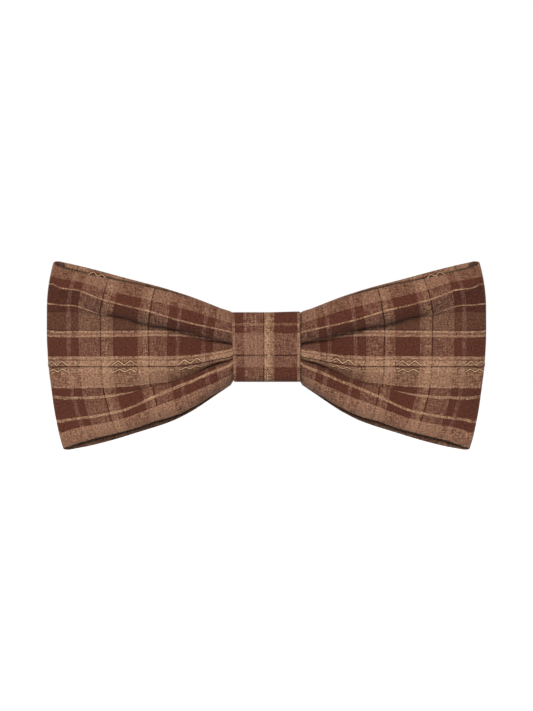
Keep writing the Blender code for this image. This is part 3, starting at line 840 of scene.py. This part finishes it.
def loop_shade_depth(obj):
    """How far each of the cloth's points lies inside the bow's loop, where less than 0 is outside it.
    This places the painted shade.
    """
    points = np.zeros(3 * len(obj.data.vertices), np.float32)
    obj.data.vertices.foreach_get("co", points)
    x, z = np.abs(points[0::3]), points[2::3]
    middle = len(strip) // 2
    front = strip[middle: middle + TUCK_STEPS + LAYER_STEPS + 1]
    top = np.interp(x, front[:, 0, 0], front[:, 0, 2])
    low = np.interp(x, front[:, -1, 0], front[:, -1, 2])
    depth = np.maximum(np.minimum(top - z, z - low), POCKET_SLOPE * (x - POCKET_X))
    ring = len(ring_plan(ROW_COUNT)[0])
    place = np.arange(len(depth)) % ring
    foot_middle = ROW_COUNT + EDGE_POINTS // 2
    top_start = 2 * ROW_COUNT + EDGE_POINTS
    outer_face = (place <= foot_middle) | (place >= top_start)
    outer_face[len(strip) * ring:] = False
    return np.where(outer_face, OUTSIDE, depth)


def leaning(along, down):
    """The distance along the strip that the crossing stripes are read at."""
    reach = np.abs(along)
    for lean, full, gone in (TOP_LEAN, FOOT_LEAN):
        reach = reach + lean * np.clip((down - gone) / (full - gone), 0, 1)
    return reach


def build_bow_cloth():
    cloth, face_count = tube_strip(
        "bow_cloth", strip, strip_normals, strip_half, CLOTH_WALL, FOLDED_EDGE
    )
    outer = ring_values(strip_along, ROW_COUNT, STRIP_HEIGHT)
    plaid = np.zeros((face_count, 4, 3))
    thread = np.zeros((face_count, 4, 3))
    reach = leaning(outer[:, :, 0], outer[:, :, 1])
    plaid[: len(outer), :, 0] = ACROSS_START - (reach - PINCH_X) / REPEAT_ALONG
    plaid[: len(outer), :, 1] = outer[:, :, 1]
    thread[: len(outer), :, 0] = outer[:, :, 0]
    thread[: len(outer), :, 1] = outer[:, :, 2]
    # How deep inside the loop each corner lies, which places the painted shade.
    thread[:, :, 2] = loop_shade_depth(cloth)[corners_of(cloth)].reshape(-1, 4)
    corner_vectors(cloth, "plaid", plaid)
    corner_vectors(cloth, "thread", thread)
    dress(cloth, plaid_cloth("bow_plaid", STRIPES_ALONG, STRIPES_ACROSS), "bow")
    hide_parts("bow_shell")


def build_bow_lining():
    rows, columns = slice(1, -1, 2), slice(2, -2, 2)
    half = np.minimum(LINING_HALF, strip_half[columns] - CLOTH_WALL)
    lining = slab_strip(
        "bow_interlining_felt", strip[columns, rows], strip_normals[columns, rows], half, 0.0
    )
    dress(lining, lining_felt, "bow")
    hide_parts("bow_interlining")


build_bow_cloth()
build_bow_lining()


def on_strip(along, down, lift):
    """A point on the strip's outer face, or on its far face where lift is negative."""
    column = np.interp(along, strip_along, np.arange(len(strip_along)))
    row = down * (ROW_COUNT - 1)
    i = min(int(column), len(strip_along) - 2)
    j = min(int(row), ROW_COUNT - 2)
    s, t = column - i, row - j

    def read(values):
        near = lerp(values[i, j], values[i + 1, j], s)
        return lerp(near, lerp(values[i, j + 1], values[i + 1, j + 1], s), t)

    half = lerp(strip_half[i], strip_half[i + 1], s)
    return read(strip) + unit(read(strip_normals)) * (lift + math.copysign(half, lift))


# ---------------------------------------------------------------- zigzag stitches

STITCH_STEP = 0.16 * MM
STITCH_RADIUS = 0.10 * MM
STITCH_SINK = 0.03 * MM
# The dark row on each side of a pale one, painted shadow in thread, as a share down the strip from it.
SHADOW_ROW_DROP = 0.0058
STITCH_PEAKS = 2
# Each run: where it starts and ends along the strip, in millimetres, the middle and height of its
# zigzag as shares down the strip, and whether it lies on the far face.
STITCH_RUNS = (
    (17.6, 24.5, 0.5360, 0.0230, False), (18.2, 24.0, 0.5715, 0.0130, False),
    (36.2, 43.1, 0.5360, 0.0230, False), (36.5, 42.6, 0.5740, 0.0150, False),
    (55.7, 61.6, 0.5360, 0.0230, False), (55.8, 61.2, 0.5740, 0.0160, False),
    (72.8, 77.9, 0.0200, 0.0210, True),
)


def zigzag(start, end, middle, height, side):
    """A row of straight stitches up and down, as (distance along, share down) at short steps."""
    corners = 2 * STITCH_PEAKS + 1
    at = np.linspace(start, end, corners)
    down = middle + height / 2 * np.where(np.arange(corners) % 2 == 0, 1.0, -1.0)
    steps = np.linspace(start, end, int((end - start) * MM / STITCH_STEP) + 1)
    return [(side * along * MM, share) for along, share in zip(steps, np.interp(steps, at, down))]


def stitch_paths(drop):
    """Every run on both wings, moved down the strip by a share of its height."""
    paths = []
    for start, end, middle, height, far_face in STITCH_RUNS:
        lift = (STITCH_RADIUS - STITCH_SINK) * (-1 if far_face else 1)
        for side in (1, -1):
            run = zigzag(start, end, middle + drop, height, side)
            paths.append([on_strip(along, down, lift) for along, down in run])
    return paths


def build_stitches():
    pale_rows = stitch_paths(0.0)
    # The dark rows either side of each pale row are painted shadow.
    shadow_rows = stitch_paths(SHADOW_ROW_DROP) + stitch_paths(-SHADOW_ROW_DROP)
    pale_stitches = tubes("zigzag_stitches_pale", pale_rows, STITCH_RADIUS, sides=6)
    shadow_stitches = tubes("zigzag_stitch_shadows", shadow_rows, STITCH_RADIUS, sides=6)
    dress(pale_stitches, pale_thread, "bow")
    dress(shadow_stitches, stitch_shadow_thread, "bow")


build_stitches()


# ---------------------------------------------------------------- the knot

def band_path():
    """The band's line in (Y, Z), from the seam down the back, up the front and back to the seam."""
    corners = [
        (BAND_BACK_Y, BAND_SEAM_Z[1], 0.0), (BAND_BACK_Y, BAND_LOW_Z, BAND_BACK_CORNER),
        (BAND_FRONT_Y, BAND_LOW_Z, BAND_FRONT_CORNER), (BAND_FRONT_Y, BAND_TOP_Z, BAND_FRONT_CORNER),
        (BAND_BACK_Y, BAND_TOP_Z, BAND_BACK_CORNER), (BAND_BACK_Y, BAND_SEAM_Z[0], 0.0),
    ]
    line = [np.array(corners[0][:2])]
    for before, here, after in zip(corners, corners[1:], corners[2:]):
        point, radius = np.array(here[:2]), here[2]
        back, on = unit(np.array(before[:2]) - point), unit(np.array(after[:2]) - point)
        centre = point + (back + on) * radius
        for turn in np.linspace(0, math.pi / 2, 9):
            line.append(centre - on * radius * math.cos(turn) - back * radius * math.sin(turn))
    line.append(np.array(corners[-1][:2]))
    line = np.array(line)
    steps = np.concatenate([[0], np.cumsum(np.linalg.norm(np.diff(line, axis=0), axis=1))])
    at = np.linspace(0, steps[-1], int(steps[-1] / BAND_STEP) + 1)
    return np.stack([np.interp(at, steps, line[:, 0]), np.interp(at, steps, line[:, 1])], axis=1), at


def band_surface(path, along):
    """The band's middle surface. Its front bellies out a little, and its top rises towards +X."""
    across = np.linspace(-1, 1, BAND_ROWS)[None, :]
    high = np.clip((path[:, 1:] - KNOT_LOW.z) / (KNOT_HIGH.z - KNOT_LOW.z), 0, 1)
    forward = smoothstep(0.5 * BAND_FRONT_Y, BAND_FRONT_Y, path[:, :1])
    left = lerp(BAND_LEFT_LOW, BAND_LEFT_TOP, high)
    rise = BAND_RISE * smoothstep(0.9, 1.0, high) * smoothstep(0, 1, across)
    belly = BAND_BELLY * np.cos(path[:, 1:] / KNOT_HIGH.z * math.pi / 2)
    wrinkle = WRINKLE_SIZE * np.sin(along[:, None] / WRINKLE_SPACING + WRINKLE_LEAN * across)
    return np.stack([
        np.where(across < 0, left, BAND_RIGHT) * across,
        path[:, :1] - (belly + wrinkle) * forward * (1 - across**4),
        path[:, 1:] + rise,
    ], axis=2)


def knot_stops(path, along):
    """The stripes up the knot's front, as shares of the way round the band."""
    front = path[:, 0] < 0.9 * BAND_FRONT_Y
    stops = [(0.0, CLAY)]
    for height, tint in KNOT_STRIPES_UP:
        share = np.interp(height, path[front, 1], along[front]) / along[-1]
        stops.append((float(share), tint))
    return stops


def build_knot():
    path, along = band_path()
    band = band_surface(path, along)
    half = np.full(len(path), BAND_HALF)
    knot = slab_strip("knot_wrap", band, normals_of(band), half, BAND_EDGE)
    values = ring_values(along, BAND_ROWS, 2 * BAND_RIGHT).reshape(-1, 3)
    plaid = np.zeros((len(knot.data.loops), 3))
    thread = np.zeros((len(knot.data.loops), 3))
    plaid[: len(values), 0] = np.abs(values[:, 1])
    plaid[:, 0] = np.clip(plaid[:, 0], 0.001, 0.999)
    plaid[: len(values), 1] = values[:, 0] / along[-1]
    thread[: len(values), 0] = values[:, 0]
    thread[: len(values), 1] = values[:, 2]
    thread[:, 2] = OUTSIDE
    corner_vectors(knot, "plaid", plaid)
    corner_vectors(knot, "thread", thread)
    knot_plaid = plaid_cloth("knot_plaid", knot_stops(path, along), KNOT_STRIPES_ACROSS)
    dress(knot, knot_plaid, "bow")
    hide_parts("knot_band")


build_knot()


# ---------------------------------------------------------------- hidden sewing

nodes_by_name = frame["nodes"]


def dress_knot_lining():
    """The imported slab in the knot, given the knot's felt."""
    lining = nodes_by_name["knot_interlining"]
    dress(lining, knot_felt, "bow")


def dress_sewing():
    for name in ("bow_end_stitches", "waist_binding", "knot_seam_thread"):
        dress(nodes_by_name[name], maroon_thread, "bow")


dress_knot_lining()
dress_sewing()


# ---------------------------------------------------------------- the clip

# The clip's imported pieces, and the body that each moves with.
CLIP_PIECES = (
    ("clip_base", "bow"), ("clip_jaw_left", "jaw_left"), ("clip_jaw_right", "jaw_right"),
    ("hinge_pin_left", "bow"), ("hinge_pin_right", "bow"),
)
for name, body in CLIP_PIECES:
    dress(nodes_by_name[name], nickel, body)

# Each torsion spring, measured from its hinge pin: the wire, the coil, and the ends of its two legs.
SPRING_WIRE = 0.25 * MM
SPRING_COIL = 1.25 * MM
SPRING_TURNS = 4.5
SPRING_PITCH = 0.6 * MM
SPRING_STEPS = 24
PLATE_LEG = ((-4.2 * MM, -1.25 * MM), (-2.1 * MM, -1.25 * MM))
JAW_LEG = ((-1.0 * MM, 1.30 * MM), (-2.2 * MM, 1.52 * MM), (-4.0 * MM, 2.32 * MM))
# The jaw's leg starts inside the coil's last quarter turn, so the wire stays whole as the jaw turns,
# and its wire is a little thinner, so that the coil hides its end.
LEG_OVERLAP = 0.22
LEG_WIRE = 0.98 * SPRING_WIRE


def build_spring(word, side):
    """The coil stays on its pin with the leg that lies on the plate. The other leg goes with the jaw."""
    low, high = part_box(f"hinge_pin_{word}")
    pivot = (low + high) / 2
    half = SPRING_TURNS * SPRING_PITCH / 2

    def place(x, y, z):
        return pivot.x + side * x, pivot.y + y, pivot.z + z

    def coil(first_turn):
        count = int((SPRING_TURNS - first_turn) * SPRING_STEPS)
        turns = np.linspace(first_turn, SPRING_TURNS, count + 1)
        angles = 2 * math.pi * turns - math.pi / 2
        heights = SPRING_PITCH * turns - half
        return [
            place(SPRING_COIL * math.cos(angle), SPRING_COIL * math.sin(angle), height)
            for angle, height in zip(angles, heights)
        ]

    fixed = [place(x, y, -half) for x, y in PLATE_LEG] + coil(0.0)
    moving = coil(SPRING_TURNS - LEG_OVERLAP) + [place(x, y, half) for x, y in JAW_LEG]
    spring = tubes(f"spring_coil_{word}", [fixed], SPRING_WIRE)
    leg = tubes(f"spring_leg_{word}", [moving], LEG_WIRE)
    for obj, body in ((spring, "bow"), (leg, f"jaw_{word}")):
        dress(obj, spring_wire, body)
        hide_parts(f"jaw_spring_{word}")


build_spring("left", -1)
build_spring("right", 1)


# ---------------------------------------------------------------- camera, light and stage

scene = bpy.context.scene
scene.view_settings.view_transform = "Standard"

FLOOR_Z = -0.075
FLOOR_HALF = 4.0

# Soft square lamps: place and width in metres, and power in watts.
LAMPS = (
    ("front", (-0.10, -0.82, 0.27), 0.26, 4.75),
    ("wide", (0.0, -1.05, 0.03), 1.2, 2.6),
    ("left", (-0.78, -0.30, 0.05), 0.35, 1.9),
    ("right", (0.78, -0.30, 0.05), 0.35, 1.6),
    ("top", (0.0, -0.10, 0.75), 0.45, 0.9),
    ("back_left", (-0.45, 0.75, 0.30), 1.0, 6.0),
    ("back_right", (0.50, 0.72, 0.15), 1.0, 4.8),
)


def make_world():
    """A plain white studio that shows behind the object and in its metal. It doesn't light the cloth."""
    world = bpy.data.worlds.new("studio")
    scene.world = world
    world.use_nodes = True
    world.node_tree.nodes["Background"].inputs["Color"].default_value = (1.0, 1.0, 1.0, 1.0)
    world.cycles_visibility.diffuse = False


def make_floor():
    """A plain pale floor, lit so evenly that it runs into the background."""
    size = FLOOR_HALF
    corners = [(-size, -size), (size, -size), (size, size), (-size, size)]
    floor = mesh_object("floor", [(x, y, FLOOR_Z) for x, y in corners], [[0, 1, 2, 3]])
    nodes = Nodes("floor_white", 0.9)
    nodes.shader.inputs["Base Color"].default_value = (0.9, 0.9, 0.9, 1.0)
    nodes.shader.inputs["Emission Color"].default_value = (1.0, 1.0, 1.0, 1.0)
    nodes.shader.inputs["Emission Strength"].default_value = 1.0
    floor.data.materials.append(nodes.material)
    floor.visible_diffuse = False
    floor.visible_shadow = False


def area_light(name, at, size, energy):
    """A square lamp that faces the knot."""
    data = bpy.data.lights.new(name, "AREA")
    data.energy = energy
    data.size = size
    light = bpy.data.objects.new(name, data)
    light.location = at
    towards_knot = Vector((0.0, 0.0, 0.0)) - Vector(at)
    light.rotation_euler = towards_knot.to_track_quat("-Z", "Y").to_euler()
    scene.collection.objects.link(light)


def make_camera():
    data = bpy.data.cameras.new("camera")
    data.sensor_fit = "HORIZONTAL"
    data.sensor_width = SENSOR_WIDTH
    data.lens = SENSOR_WIDTH * CAMERA_DISTANCE / FIELD_WIDTH
    camera = bpy.data.objects.new("camera", data)
    camera.location = (0, FIELD_Y - CAMERA_DISTANCE, CAMERA_Z)
    camera.rotation_euler = (math.radians(90), 0, 0)
    scene.collection.objects.link(camera)
    scene.camera = camera


make_world()
make_camera()
make_floor()
for lamp in LAMPS:
    area_light(*lamp)
